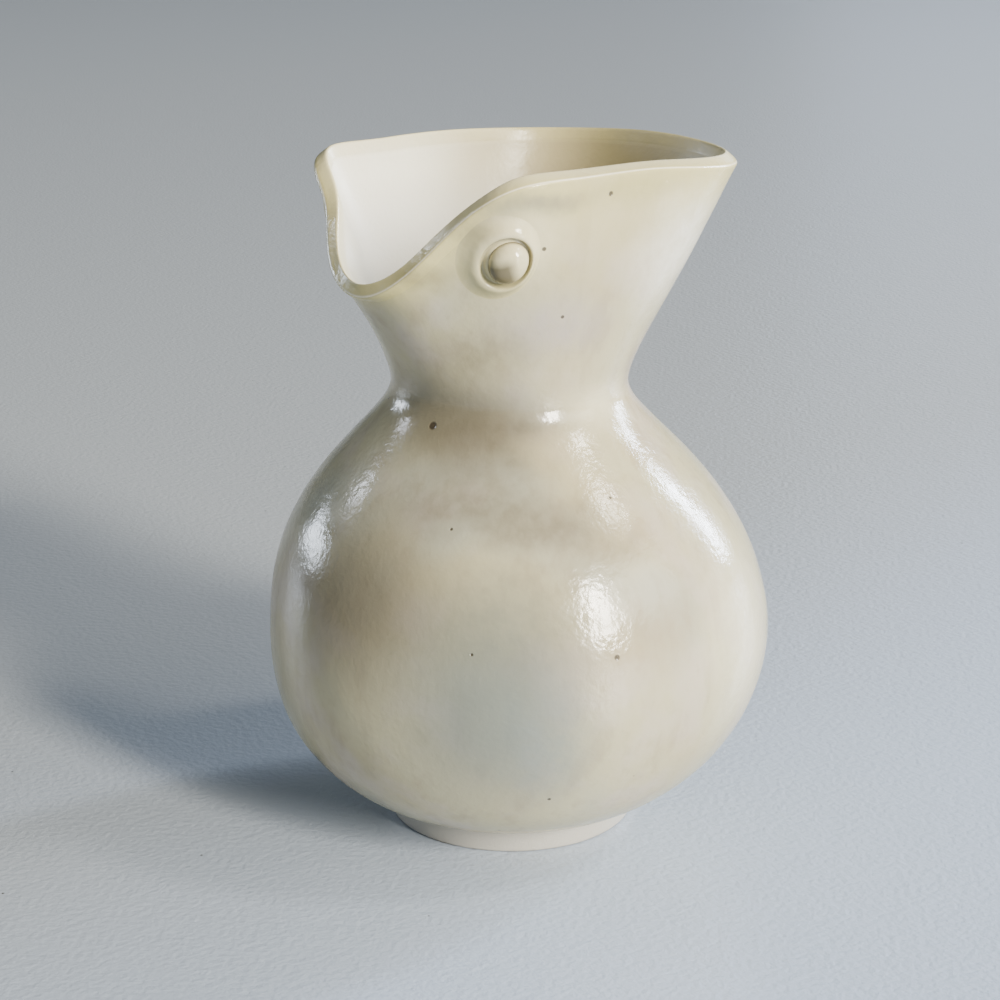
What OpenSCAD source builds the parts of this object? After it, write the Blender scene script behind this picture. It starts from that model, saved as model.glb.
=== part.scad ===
// Beaked stoneware pitcher: a thrown bulb on a trimmed foot, with a flared head whose rim dips and folds
// out into a spout, and an applied eye on each side of it.
// The origin is the centre of the foot, on the table. The spout points along -Y and +Z is up.

/* [Bulb] */
// Widest diameter of the bulb
belly_d = 112.6; // [100:0.2:126]
// Height of the widest place above the table
belly_z = 44; // [38:0.5:50]
// Outer diameter of the waist
waist_d = 52.6; // [46:0.2:58]
// Height of the waist above the table
waist_z = 101; // [96:0.5:110]
// Thickness of the thrown wall
wall = 3.8; // [2.6:0.1:5]
// Thickness of the floor
floor_t = 4.2; // [3:0.1:7]
// Diameter of the flat underside that the foot ring joins
seat_d = 57.8; // [56:0.2:64]
// Rise of the underside where it leaves the foot, in degrees from level
underside_angle = 20; // [12:1:30]
// Fullness of the underside near the foot
underside_pull = 22.5; // [16:0.5:26]
// Fullness of the bulb below its widest place
belly_pull = 13; // [8:0.5:18]
// Fullness of the shoulder above the widest place
shoulder_pull = 35; // [28:0.5:40]
// Fullness of the curve that runs into the waist
neck_pull = 10; // [7:0.5:16]

/* [Foot] */
// Outer diameter of the foot ring on the table
foot_d = 55.8; // [50:0.2:57.6]
// Height of the foot ring
foot_h = 5.2; // [3.5:0.1:7]
// Width of the foot ring on the table
foot_w = 5; // [3.5:0.1:7]
// Slope inward of the ring's inner face, measured at its top
foot_batter = 1.2; // [0.4:0.1:2]
// Rounding of the ring's two lower edges
foot_edge_r = 0.8; // [0.4:0.1:1.2]

/* [Rim] */
// Height of the rim's highest stretch above the table
rim_z = 151.2; // [144:0.2:160]
// Drop of the rim at the spout
spout_dip = 25.6; // [20:0.2:28]
// Reach of the spout's tip from the axis
spout_reach = 44; // [40:0.5:49]
// Reach of the rim beside the tip, where the fold begins to rise
fold_reach = 43.5; // [40:0.5:47]
// Reach of the rim where the fold is pinched in
pinch_reach = 41.5; // [38:0.5:44]
// Reach of the rim's front corner on the left
corner_reach = 43; // [41:0.5:47]
// Further reach of the front corner on the right, which was drawn out sharper
right_corner_extra = 3; // [0:0.5:4]
// Reach of the rim behind the corners
cheek_reach = 38.5; // [36:0.5:43]
// Reach of the flattened sides
side_reach = 37.5; // [35:0.5:44]
// Reach of the rim at the back quarters
quarter_reach = 47.5; // [43:0.5:50]
// Reach of the rim at the very back
back_reach = 44.5; // [42:0.5:50]
// Tilt of the rim, higher on the left, in degrees
rim_tilt = 1; // [0:0.1:2]
// Height of the rolled lip, measured along the wall
lip_h = 4; // [3:0.1:6]
// Swelling of the lip beyond the wall's outer face
lip_swell = 0.2; // [0.1:0.1:0.8]
// Further swelling of the lip at the spout's tip
spout_swell = 0.6; // [0:0.1:1.2]

/* [Head] */
// Length of the upright run above the waist
throat_pull = 6; // [3:0.5:9]
// Width of the round collar that the head was drawn out from
collar_d = 68; // [60:0.2:72]
// Height of the collar, below which the wall stays nearly round
collar_z = 121.4; // [118:0.2:126]
// How much further out the wall turns under the spout
spout_throat_out = 6; // [2:0.5:7]
// How much higher the wall turns under the spout
spout_throat_rise = 2; // [0:0.5:3]

/* [Eyes] */
// Turn of the left eye from the spout, in degrees
left_eye_angle = 45; // [40:0.5:52]
// Turn of the right eye from the spout, in degrees
right_eye_angle = 52; // [44:0.5:56]
// Height of the eyes above the table
eye_z = 134.5; // [130:0.5:137]
// Diameter of the clay pad round each eye
pad_d = 17.2; // [14:0.2:19]
// Height of the pad's rounded ring above the head
pad_h = 1.3; // [0.8:0.1:2]
// Diameter of the ring that was pressed into the pad
press_d = 11; // [9.6:0.2:12.6]
// Thickness of clay that is left under the pellet
press_t = 0.5; // [0.3:0.1:0.7]
// Diameter of the pellet
bead_d = 9; // [7:0.2:9.4]
// Height of the pellet above its bed
bead_h = 2.2; // [1.2:0.1:3]

/* [Hidden] */

// Glaze and clay colours
glaze = "#e6dfd0";
thin_glaze = "#d9cdae";
bare_clay = "#d8cbb4";

// Steps of the curves: rows up a wall, columns round the head and round an eye
wall_rows = 14;
curve_rows = 24;
columns = 120;
eye_columns = 30;
eye_steps = 6;
$fn = 120;

// Places round the rim, in degrees from the spout, and what the rim does there
rim_angles = [0, 16, 32, 48, 68, 100, 140, 180];
rim_reaches = [
    spout_reach, fold_reach, pinch_reach, corner_reach,
    cheek_reach, side_reach, quarter_reach, back_reach
];
right_corner_shares = [0, 0, 0, 1, 0, 0, 0, 0];
dip_shares = [1, 0.8, 0.34, 0.05, 0, 0, 0.1, 0.05];
angle_step = 0.5;
rise_step = 0.01;

// Places across the lip's roll, in degrees round its section
lip_turns = [200, 180, 155, 130, 105, 80, 55, 30, 5, -20];
// Height of the middle of the roll, as a share of the lip's height
lip_middle_share = 0.52;

// Rings of an eye's solids, as shares of the radius that they fill
bed_shares = [0.5, 1];
pad_base_shares = [0.25, 0.5, 0.75, 1];
pad_ring_turns = [15, 40, 65, 90, 120, 150];
bead_turns = [22, 44, 66];
// Height of the pad's thin outer edge, as a share of its ring's height
pad_edge_share = 0.2;
// Place of the pad's highest ring, as a share of the way from the pressed ring to the pad's edge
pad_crest_share = 0.3;

// Plain mathematics
function unit(v) = v / norm(v);
function cubic(a, b, c, d, t) =
    pow(1 - t, 3) * a + 3 * pow(1 - t, 2) * t * b + 3 * (1 - t) * t * t * c + pow(t, 3) * d;
function steps(count) = [for (i = [0:count]) i / count];

// Smooth curve through values that stand at given angles, level at both ends
function slope_at(at, v, i) =
    (i == 0 || i == len(at) - 1) ? 0 : (v[i + 1] - v[i - 1]) / (at[i + 1] - at[i - 1]);
function span_of(at, a, i = 0) =
    (i >= len(at) - 2 || a < at[i + 1]) ? i : span_of(at, a, i + 1);
function through(at, v, a) =
    let (i = span_of(at, a), w = at[i + 1] - at[i], u = (a - at[i]) / w)
    v[i] * (1 + 2 * u) * pow(1 - u, 2)
    + v[i + 1] * u * u * (3 - 2 * u)
    + slope_at(at, v, i) * w * u * pow(1 - u, 2)
    + slope_at(at, v, i + 1) * w * u * u * (u - 1);
function round_rim(v, turn) = through(rim_angles, v, abs(turn > 180 ? turn - 360 : turn));

// A point at a turn from the spout, a reach from the axis and a height
function place(turn, reach, z) = [reach * sin(turn), -reach * cos(turn), z];

// Outer outline of the bulb, from the foot's seat to the waist, as reach and height
function bulb_point(t) =
    t < 1
    ? cubic(
        [seat_d / 2, foot_h],
        [seat_d / 2, foot_h] + underside_pull * [cos(underside_angle), sin(underside_angle)],
        [belly_d / 2, belly_z - belly_pull],
        [belly_d / 2, belly_z],
        t)
    : cubic(
        [belly_d / 2, belly_z],
        [belly_d / 2, belly_z + shoulder_pull],
        [waist_d / 2, waist_z - neck_pull],
        [waist_d / 2, waist_z],
        t - 1);
function bulb_normal(t) =
    let (d = bulb_point(t + rise_step) - bulb_point(t - rise_step))
    unit([d[1], -d[0]]);
// The wall is square to the outline, and level where the head joins it
function bulb_inner(t) = bulb_point(t) - wall * (t == 2 ? [1, 0] : bulb_normal(t));

// How much of the spout's dip there is at a turn
function spout_share(turn) = max(0, round_rim(dip_shares, turn));

// The round collar that guides the wall, drawn out and up at the spout
function collar_point(turn) =
    place(
        turn,
        collar_d / 2 + spout_throat_out * spout_share(turn),
        collar_z + spout_throat_rise * spout_share(turn));

// The rim's edge, the way along it, the way out of the wall there and the way up the wall
function rim_reach(turn) =
    round_rim(rim_reaches, turn) + (sin(turn) < 0 ? right_corner_extra * round_rim(right_corner_shares, turn) : 0);
function rim_height(turn) =
    rim_z - spout_dip * round_rim(dip_shares, turn) + rim_reach(turn) * sin(turn) * tan(rim_tilt);
function rim_point(turn) = place(turn, rim_reach(turn), rim_height(turn));
function rim_run(turn) = unit(rim_point(turn + angle_step) - rim_point(turn - angle_step));
function rim_out(turn) = unit(cross(rim_run(turn), rim_point(turn) - collar_point(turn)));
function rim_up(turn) = unit(cross(rim_out(turn), rim_run(turn)));

// Outer face of the head, from the waist at rise 0 to the lip's seat at rise 1
function seat_point(turn) = rim_point(turn) - lip_h * rim_up(turn);
function head_point(turn, rise) =
    let (low = place(turn, waist_d / 2, waist_z))
    cubic(low, low + [0, 0, throat_pull], collar_point(turn), seat_point(turn), rise);
function head_normal(turn, rise) =
    unit(cross(
        head_point(turn + angle_step, rise) - head_point(turn - angle_step, rise),
        head_point(turn, rise + rise_step) - head_point(turn, rise - rise_step)));
function head_inner(turn, rise) = head_point(turn, rise) - wall * head_normal(turn, rise);

// Section of the lip: the head's seat below, a roll above
function lip_swell_at(turn) = lip_swell + spout_swell * spout_share(turn);
function lip_roll(turn, a) =
    let (
        swell = lip_swell_at(turn),
        middle = lip_h * lip_middle_share,
        half = wall / 2 + swell * (1 + cos(a)) / 2
    )
    seat_point(turn)
    + (half * cos(a) - wall / 2) * rim_out(turn)
    + (middle + (lip_h - middle) * sin(a)) * rim_up(turn);

// Closed solid swept round the axis through sections with the same number of points
module swept(sections) {
    n = len(sections);
    k = len(sections[0]);
    points = [for (s = sections) each s];
    faces = [
        for (i = [0:n - 1], j = [0:k - 1])
        let (a = i * k + j, b = i * k + (j + 1) % k, c = (i + 1) % n * k + j, d = (i + 1) % n * k + (j + 1) % k)
        each [[a, b, c], [c, b, d]]
    ];
    polyhedron(points, faces);
}

// Closed solid through rings of points, from a first pole to a last one
module ringed(first, rings, last) {
    n = len(rings);
    k = len(rings[0]);
    points = [first, for (r = rings) each r, last];
    end = 1 + n * k;
    faces = [
        for (j = [0:k - 1]) [0, 1 + j, 1 + (j + 1) % k],
        for (i = [0:n - 2], j = [0:k - 1])
        let (a = 1 + i * k + j, b = 1 + i * k + (j + 1) % k, c = a + k, d = b + k)
        each [[a, c, b], [b, c, d]],
        for (j = [0:k - 1]) [end, end - k + (j + 1) % k, end - k + j]
    ];
    polyhedron(points, faces);
}

// Rise at which the head's outer face reaches a height
function rise_to(turn, z, low = 0, high = 1, left = 20) =
    let (middle = (low + high) / 2)
    left == 0 ? middle
    : head_point(turn, middle)[2] > z ? rise_to(turn, z, low, middle, left - 1)
    : rise_to(turn, z, middle, high, left - 1);

// The middle of an eye at a turn: its rise up the wall, how the face runs per degree and per rise there,
// and the two directions of its plane
function eye_middle(turn) =
    let (
        rise = rise_to(turn, eye_z),
        per_turn = (head_point(turn + angle_step, rise) - head_point(turn - angle_step, rise)) / (2 * angle_step),
        per_rise = (head_point(turn, rise + rise_step) - head_point(turn, rise - rise_step)) / (2 * rise_step),
        sideways = unit(per_turn)
    )
    [turn, rise, per_turn, per_rise, sideways, unit(cross(head_normal(turn, rise), sideways))];
left_eye = eye_middle(left_eye_angle);
right_eye = eye_middle(360 - right_eye_angle);

// Turn and rise of the face's point over a place in an eye's plane, closing in on it step by step
function found_under(eye, goal, turn, rise, left) =
    left == 0 ? [turn, rise]
    : let (
        gap = goal - head_point(turn, rise),
        more_rise = gap * eye[5] / (eye[3] * eye[5]),
        more_turn = (gap * eye[4] - more_rise * (eye[3] * eye[4])) / norm(eye[2])
    )
    found_under(eye, goal, turn + more_turn, rise + more_rise, left - 1);

// A point over the head's face, at a distance and a bearing from the middle of an eye
function over_eye(eye, away, bearing, height) =
    let (
        goal = head_point(eye[0], eye[1]) + away * (cos(bearing) * eye[4] + sin(bearing) * eye[5]),
        at = found_under(eye, goal, eye[0], eye[1], eye_steps)
    )
    head_point(at[0], at[1]) + height * head_normal(at[0], at[1]);
function eye_ring(eye, away, height) =
    [for (i = [0:eye_columns - 1]) over_eye(eye, away, 360 * i / eye_columns, height)];

// The pad's rounded ring, from its outer edge to the edge of the pressed bed
pad_crest = press_d / 2 + (pad_d - press_d) / 2 * pad_crest_share;
function pad_ring(a) =
    a <= 90
    ? [pad_d / 2 - (pad_d / 2 - pad_crest) * (1 - cos(a)),
        pad_h * (pad_edge_share + (1 - pad_edge_share) * sin(a))]
    : [pad_crest - (pad_crest - press_d / 2) * -cos(a),
        press_t + (pad_h - press_t) * sin(a)];

module bulb() {
    color(glaze)
    rotate_extrude()
    polygon([
        [0, foot_h],
        for (t = steps(curve_rows)) bulb_point(2 * t),
        for (t = steps(curve_rows)) bulb_inner(2 * (1 - t)),
        [0, foot_h + floor_t]
    ]);
}

module foot_ring() {
    inner = foot_d / 2 - foot_w;
    color(bare_clay)
    rotate_extrude()
    polygon([
        for (a = [180:30:270]) [inner + foot_edge_r * (1 + cos(a)), foot_edge_r * (1 + sin(a))],
        for (a = [270:30:360]) [foot_d / 2 - foot_edge_r * (1 - cos(a)), foot_edge_r * (1 + sin(a))],
        [seat_d / 2, foot_h],
        [inner - foot_batter, foot_h]
    ]);
}

module head() {
    color(glaze)
    swept([
        for (i = [0:columns - 1])
        let (turn = 360 * i / columns)
        [
            for (t = steps(wall_rows)) head_point(turn, t),
            for (t = steps(wall_rows)) head_inner(turn, 1 - t)
        ]
    ]);
}

module lip() {
    color(thin_glaze)
    swept([
        for (i = [0:columns - 1])
        let (turn = 360 * i / columns)
        [
            head_inner(turn, 1),
            head_point(turn, 1),
            for (k = [len(lip_turns) - 1:-1:0]) lip_roll(turn, lip_turns[k])
        ]
    ]);
}

module eye_pad(eye) {
    ringed(
        over_eye(eye, 0, 0, 0),
        [
            for (s = pad_base_shares) eye_ring(eye, s * pad_d / 2, 0),
            for (a = pad_ring_turns) let (p = pad_ring(a)) eye_ring(eye, p[0], p[1]),
            for (k = [len(bed_shares) - 1:-1:0]) eye_ring(eye, bed_shares[k] * bead_d / 2, press_t)
        ],
        over_eye(eye, 0, 0, press_t));
}

module eye_bead(eye) {
    ringed(
        over_eye(eye, 0, 0, press_t),
        [
            for (s = bed_shares) eye_ring(eye, s * bead_d / 2, press_t),
            for (a = bead_turns) eye_ring(eye, bead_d / 2 * cos(a), press_t + bead_h * sin(a))
        ],
        over_eye(eye, 0, 0, press_t + bead_h));
}

module left_eye_pad() {
    color(glaze)
    eye_pad(left_eye);
}

module right_eye_pad() {
    color(glaze)
    eye_pad(right_eye);
}

module left_eye_bead() {
    color(thin_glaze)
    eye_bead(left_eye);
}

module right_eye_bead() {
    color(thin_glaze)
    eye_bead(right_eye);
}

bulb();
foot_ring();
head();
lip();
left_eye_pad();
right_eye_pad();
left_eye_bead();
right_eye_bead();
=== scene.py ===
"""Dresses the beaked stoneware pitcher: smooth thrown walls, applied eyes and a satin glaze."""

import logging
import math
from dataclasses import dataclass
from enum import Enum
from typing import Any, Callable, Mapping, Sequence

import bpy
import numpy as np
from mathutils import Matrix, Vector, noise


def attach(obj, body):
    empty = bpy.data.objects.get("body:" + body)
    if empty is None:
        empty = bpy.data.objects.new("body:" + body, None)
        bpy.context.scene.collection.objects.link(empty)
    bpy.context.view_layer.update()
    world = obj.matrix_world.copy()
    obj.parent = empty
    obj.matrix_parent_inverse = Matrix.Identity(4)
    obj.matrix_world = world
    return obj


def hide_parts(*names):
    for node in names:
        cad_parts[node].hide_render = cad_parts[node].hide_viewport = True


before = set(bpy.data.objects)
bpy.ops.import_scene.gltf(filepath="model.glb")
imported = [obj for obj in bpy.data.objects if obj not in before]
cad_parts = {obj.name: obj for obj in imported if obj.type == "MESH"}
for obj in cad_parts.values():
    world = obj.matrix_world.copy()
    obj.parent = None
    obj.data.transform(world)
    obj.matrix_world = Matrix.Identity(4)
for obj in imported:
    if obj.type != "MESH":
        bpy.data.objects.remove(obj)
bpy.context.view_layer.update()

LOG = logging.getLogger("pitcher")
MM = 0.001

# The standard curve between a screen's values and light
SRGB_KNEE = 0.04045
SRGB_SLOPE = 12.92
SRGB_LIFT = 0.055
SRGB_POWER = 2.4

# A wave texture turns this many radians in one of its units
WAVE_RATE = 20


class Slot(Enum):
    """Material slots of the record that the pieces take their finish from."""

    GLAZE = "glaze"
    THIN_GLAZE = "thin_glaze"
    BARE_CLAY = "bare_clay"


class Side(Enum):
    """The two sides of the beak, by the sign of X."""

    LEFT = 1
    RIGHT = -1


# Plain mathematics on arrays of points


def unit(v: np.ndarray) -> np.ndarray:
    """Returns the vectors at length one."""
    return v / np.linalg.norm(v, axis=-1, keepdims=True)


def cubic(a: np.ndarray, b: np.ndarray, c: np.ndarray, d: np.ndarray, t: np.ndarray) -> np.ndarray:
    """Runs a cubic curve through its control points.

    Args:
        a: The start.
        b: The first pull.
        c: The second pull.
        d: The end.
        t: Places along the curve, from 0 to 1, with one axis less than the points.

    Returns:
        The points at those places.
    """
    t = np.asarray(t, float)[..., None]
    return (1 - t) ** 3 * a + 3 * (1 - t) ** 2 * t * b + 3 * (1 - t) * t * t * c + t ** 3 * d


def through(at: Sequence[float], values: Sequence[float], places: np.ndarray) -> np.ndarray:
    """Runs a smooth curve through values, level at both ends.

    Args:
        at: Places where the values stand, rising.
        values: The values there.
        places: Where the curve is wanted.

    Returns:
        The curve's values at those places.
    """
    at, values = np.asarray(at, float), np.asarray(values, float)
    slopes = np.zeros_like(values)
    slopes[1:-1] = (values[2:] - values[:-2]) / (at[2:] - at[:-2])
    i = np.clip(np.searchsorted(at, places, side="right") - 1, 0, len(at) - 2)
    w = at[i + 1] - at[i]
    u = (places - at[i]) / w
    return (
        values[i] * (1 + 2 * u) * (1 - u) ** 2
        + values[i + 1] * u * u * (3 - 2 * u)
        + slopes[i] * w * u * (1 - u) ** 2
        + slopes[i + 1] * w * u * u * (u - 1)
    )


@dataclass(frozen=True)
class Wander:
    """How the hand left the pot uneven, in millimetres.

    The wall leans by the shifts at its heights, towards a turn that is degrees from +X, and it has broad
    dents and the faint marks of fingers.
    """

    turn: float = 50.0
    heights: tuple[float, ...] = (0, 20, 44, 60, 78, 101, 124, 146, 156)
    shifts: tuple[float, ...] = (-1.7, -1.1, 0, -0.6, -1.3, -2.1, -0.6, 0, 0.2)
    dent: float = 0.3
    dent_size: float = 34.0
    thumb: float = 0.06
    thumb_size: float = 8.0
    grain_middle: float = 0.5
    margin: float = 0.1
    axis_fade: float = 12.0

    def settle(self, points: np.ndarray) -> np.ndarray:
        """Moves points as the hand left them.

        Points in one place move alike, so that joined pieces stay joined.

        Args:
            points: Points of the true shape.

        Returns:
            The moved points, held inside the construction's box.
        """
        shift = through(self.heights, self.shifts, np.clip(points[:, 2], 0, self.heights[-1]))
        aside = np.array([math.cos(math.radians(self.turn)), math.sin(math.radians(self.turn)), 0.0])
        dents = np.array([
            self.dent * (noise.noise(Vector(p / self.dent_size)) - self.grain_middle)
            + self.thumb * (noise.noise(Vector(p / self.thumb_size)) - self.grain_middle)
            for p in points
        ])
        reach = np.hypot(points[:, 0], points[:, 1])
        outward = points * [1, 1, 0] / np.maximum(reach, self.axis_fade)[:, None]
        return points + shift[:, None] * aside + (dents - self.margin)[:, None] * outward


@dataclass(frozen=True)
class PotShape:
    """The thrown and drawn-out wall, in millimetres, as the construction has it.

    Turns are degrees from the spout, which points along -Y, towards +X, the left of the beak. Rises run
    from 0 at the waist to 1 at the lip's seat. The rim reaches as far as rim_reaches say at the rim_turns,
    a little further at the right corner, and lies lower by its dip shares of the spout's dip.
    """

    belly_d: float = 112.6
    belly_z: float = 44.0
    waist_d: float = 52.6
    waist_z: float = 101.0
    wall: float = 3.8
    floor_t: float = 4.2
    seat_d: float = 57.8
    underside_angle: float = 20.0
    underside_pull: float = 22.5
    belly_pull: float = 13.0
    shoulder_pull: float = 35.0
    neck_pull: float = 10.0
    foot_d: float = 55.8
    foot_h: float = 5.2
    foot_w: float = 5.0
    foot_batter: float = 1.2
    foot_edge_r: float = 0.8
    rim_z: float = 151.2
    spout_dip: float = 25.6
    rim_turns: tuple[float, ...] = (0, 16, 32, 48, 68, 100, 140, 180)
    rim_reaches: tuple[float, ...] = (44, 43.5, 41.5, 43, 38.5, 37.5, 47.5, 44.5)
    right_corner: tuple[float, ...] = (0, 0, 0, 3, 0, 0, 0, 0)
    dip_shares: tuple[float, ...] = (1, 0.8, 0.34, 0.05, 0, 0, 0.1, 0.05)
    rim_tilt: float = 1.0
    lip_h: float = 4.0
    spout_swell: float = 0.6
    lip_middle_share: float = 0.52
    throat_pull: float = 6.0
    collar_d: float = 68.0
    collar_z: float = 121.4
    spout_throat_out: float = 6.0
    spout_throat_rise: float = 2.0
    turn_step: float = 0.5
    rise_step: float = 0.01
    hand_turns: tuple[float, ...] = (-6, -3, 0, 3, 6)
    fold_thinning: float = 0.4
    fold_rise: float = 0.78
    search_steps: int = 24
    outline_steps: int = 400

    def round_rim(self, values: Sequence[float], turn: np.ndarray) -> np.ndarray:
        """Softens a rim value over a few degrees, as a finger softens a fold.

        Args:
            values: The value at each of the rim's named turns.
            turn: Turns in degrees.

        Returns:
            The value at each turn.
        """
        total = 0
        for offset in self.hand_turns:
            total = total + through(self.rim_turns, values, np.abs((turn + offset + 180) % 360 - 180))
        return total / len(self.hand_turns)

    def place(self, turn: np.ndarray, reach: np.ndarray, z: np.ndarray) -> np.ndarray:
        """Returns points at a turn from the spout, a reach from the axis and a height."""
        turn, reach, z = np.broadcast_arrays(np.radians(turn), reach, z)
        return np.stack([reach * np.sin(turn), -reach * np.cos(turn), z], axis=-1)

    def bulb_outline(self, t: np.ndarray) -> np.ndarray:
        """Runs the bulb's outer outline from the foot's seat to the waist.

        Args:
            t: Places along it: 0 at the seat, 1 at the belly and 2 at the waist.

        Returns:
            Reach and height at each place.
        """
        tilt = math.radians(self.underside_angle)
        seat = np.array([self.seat_d / 2, self.foot_h])
        belly = np.array([self.belly_d / 2, self.belly_z])
        waist = np.array([self.waist_d / 2, self.waist_z])
        under = cubic(
            seat, seat + self.underside_pull * np.array([math.cos(tilt), math.sin(tilt)]),
            belly - [0, self.belly_pull], belly, np.clip(t, 0, 1))
        above = cubic(
            belly, belly + [0, self.shoulder_pull], waist - [0, self.neck_pull], waist,
            np.clip(t - 1, 0, 1))
        return np.where((np.asarray(t) < 1)[..., None], under, above)

    def bulb_normal(self, t: np.ndarray) -> np.ndarray:
        """Finds the outward direction of the bulb's outline.

        Args:
            t: Places along the outline, from 0 to 2.

        Returns:
            The directions, in reach and height.
        """
        low, high = np.clip(t - self.rise_step, 0, 2), np.clip(t + self.rise_step, 0, 2)
        run = self.bulb_outline(high) - self.bulb_outline(low)
        return unit(np.stack([run[..., 1], -run[..., 0]], axis=-1))

    def spout_share(self, turn: np.ndarray) -> np.ndarray:
        """Returns how much of the spout's dip there is at each turn."""
        return np.maximum(0, self.round_rim(self.dip_shares, turn))

    def collar_point(self, turn: np.ndarray) -> np.ndarray:
        """Finds the round collar that guides the wall, drawn out and up at the spout.

        Args:
            turn: Turns in degrees.

        Returns:
            The points.
        """
        share = self.spout_share(turn)
        reach = self.collar_d / 2 + self.spout_throat_out * share
        return self.place(turn, reach, self.collar_z + self.spout_throat_rise * share)

    def rim_point(self, turn: np.ndarray) -> np.ndarray:
        """Finds the rim's outer top edge.

        Args:
            turn: Turns in degrees.

        Returns:
            The points.
        """
        sine = np.sin(np.radians(turn))
        corner = (sine < 0) * self.round_rim(self.right_corner, turn)
        reach = self.round_rim(self.rim_reaches, turn) + corner
        z = self.rim_z - self.spout_dip * self.round_rim(self.dip_shares, turn)
        return self.place(turn, reach, z + reach * sine * math.tan(math.radians(self.rim_tilt)))

    def rim_run(self, turn: np.ndarray) -> np.ndarray:
        """Returns the way along the rim at each turn."""
        return unit(self.rim_point(turn + self.turn_step) - self.rim_point(turn - self.turn_step))

    def rim_out(self, turn: np.ndarray) -> np.ndarray:
        """Returns the way out of the wall at the rim."""
        return unit(np.cross(self.rim_run(turn), self.rim_point(turn) - self.collar_point(turn)))

    def rim_up(self, turn: np.ndarray) -> np.ndarray:
        """Returns the way up the wall at the rim."""
        return unit(np.cross(self.rim_out(turn), self.rim_run(turn)))

    def seat_point(self, turn: np.ndarray) -> np.ndarray:
        """Returns the outer edge of the lip's seat on the head."""
        return self.rim_point(turn) - self.lip_h * self.rim_up(turn)

    def head_point(self, turn: np.ndarray, rise: np.ndarray) -> np.ndarray:
        """Finds points of the head's outer face.

        Args:
            turn: Turns in degrees.
            rise: Rises from the waist, 0, to the lip's seat, 1.

        Returns:
            The points.
        """
        turn, rise = np.broadcast_arrays(np.asarray(turn, float), np.asarray(rise, float))
        low = self.place(turn, self.waist_d / 2, self.waist_z)
        pull = low + [0, 0, self.throat_pull]
        return cubic(low, pull, self.collar_point(turn), self.seat_point(turn), rise)

    def head_normal(self, turn: np.ndarray, rise: np.ndarray) -> np.ndarray:
        """Finds the outward direction of the head's face.

        Args:
            turn: Turns in degrees.
            rise: Rises from the waist, 0, to the lip's seat, 1.

        Returns:
            The directions.
        """
        turn, rise = np.broadcast_arrays(np.asarray(turn, float), np.asarray(rise, float))
        return unit(np.cross(
            self.head_point(turn + self.turn_step, rise) - self.head_point(turn - self.turn_step, rise),
            self.head_point(turn, rise + self.rise_step) - self.head_point(turn, rise - self.rise_step)))

    def thickness(self, turn: np.ndarray, rise: np.ndarray) -> np.ndarray:
        """Finds the wall's thickness, which the finger thinned where it folded the spout out.

        Args:
            turn: Turns in degrees.
            rise: Rises from the waist, 0, to the lip's seat, 1.

        Returns:
            The thicknesses.
        """
        fold = np.clip((rise - self.fold_rise) / (1 - self.fold_rise), 0, 1)
        thinned = self.fold_thinning * self.spout_share(turn)
        return self.wall * (1 - thinned * fold * fold * (3 - 2 * fold))

    def rise_to(self, turn: float, z: float) -> float:
        """Finds the rise at which the head's face reaches a height.

        Args:
            turn: The turn in degrees.
            z: The height.

        Returns:
            The rise.
        """
        low, high = 0.0, 1.0
        for _ in range(self.search_steps):
            middle = (low + high) / 2
            if self.head_point(turn, middle)[2] > z:
                high = middle
            else:
                low = middle
        return (low + high) / 2

    def wall_place(self, turn: float, z: float) -> np.ndarray:
        """Finds the point of the outer wall, bulb or head, at a turn and a height.

        Args:
            turn: The turn in degrees.
            z: The height.

        Returns:
            The point.
        """
        if z > self.waist_z:
            return self.head_point(turn, self.rise_to(turn, z))
        t = np.linspace(0, 2, self.outline_steps)
        outline = self.bulb_outline(t)
        return self.place(turn, np.interp(z, outline[:, 1], outline[:, 0]), z)


# Ways of making a mesh


def only(obj: bpy.types.Object) -> None:
    """Leaves one object selected and active.

    Args:
        obj: The object.
    """
    bpy.ops.object.select_all(action="DESELECT")
    obj.select_set(True)
    bpy.context.view_layer.objects.active = obj


def weld(obj: bpy.types.Object, gap: float = 1e-6) -> None:
    """Merges the doubled points of a mesh and turns its faces outwards.

    Args:
        obj: The mesh.
        gap: Points closer than this, in metres, become one.
    """
    only(obj)
    bpy.ops.object.mode_set(mode="EDIT")
    bpy.ops.mesh.select_all(action="SELECT")
    bpy.ops.mesh.remove_doubles(threshold=gap)
    bpy.ops.mesh.normals_make_consistent(inside=False)
    bpy.ops.object.mode_set(mode="OBJECT")


def points_of(obj: bpy.types.Object) -> np.ndarray:
    """Reads a mesh's points.

    Args:
        obj: The mesh.

    Returns:
        The points in metres.
    """
    flat = np.empty(len(obj.data.vertices) * 3)
    obj.data.vertices.foreach_get("co", flat)
    return flat.reshape(-1, 3)


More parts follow.
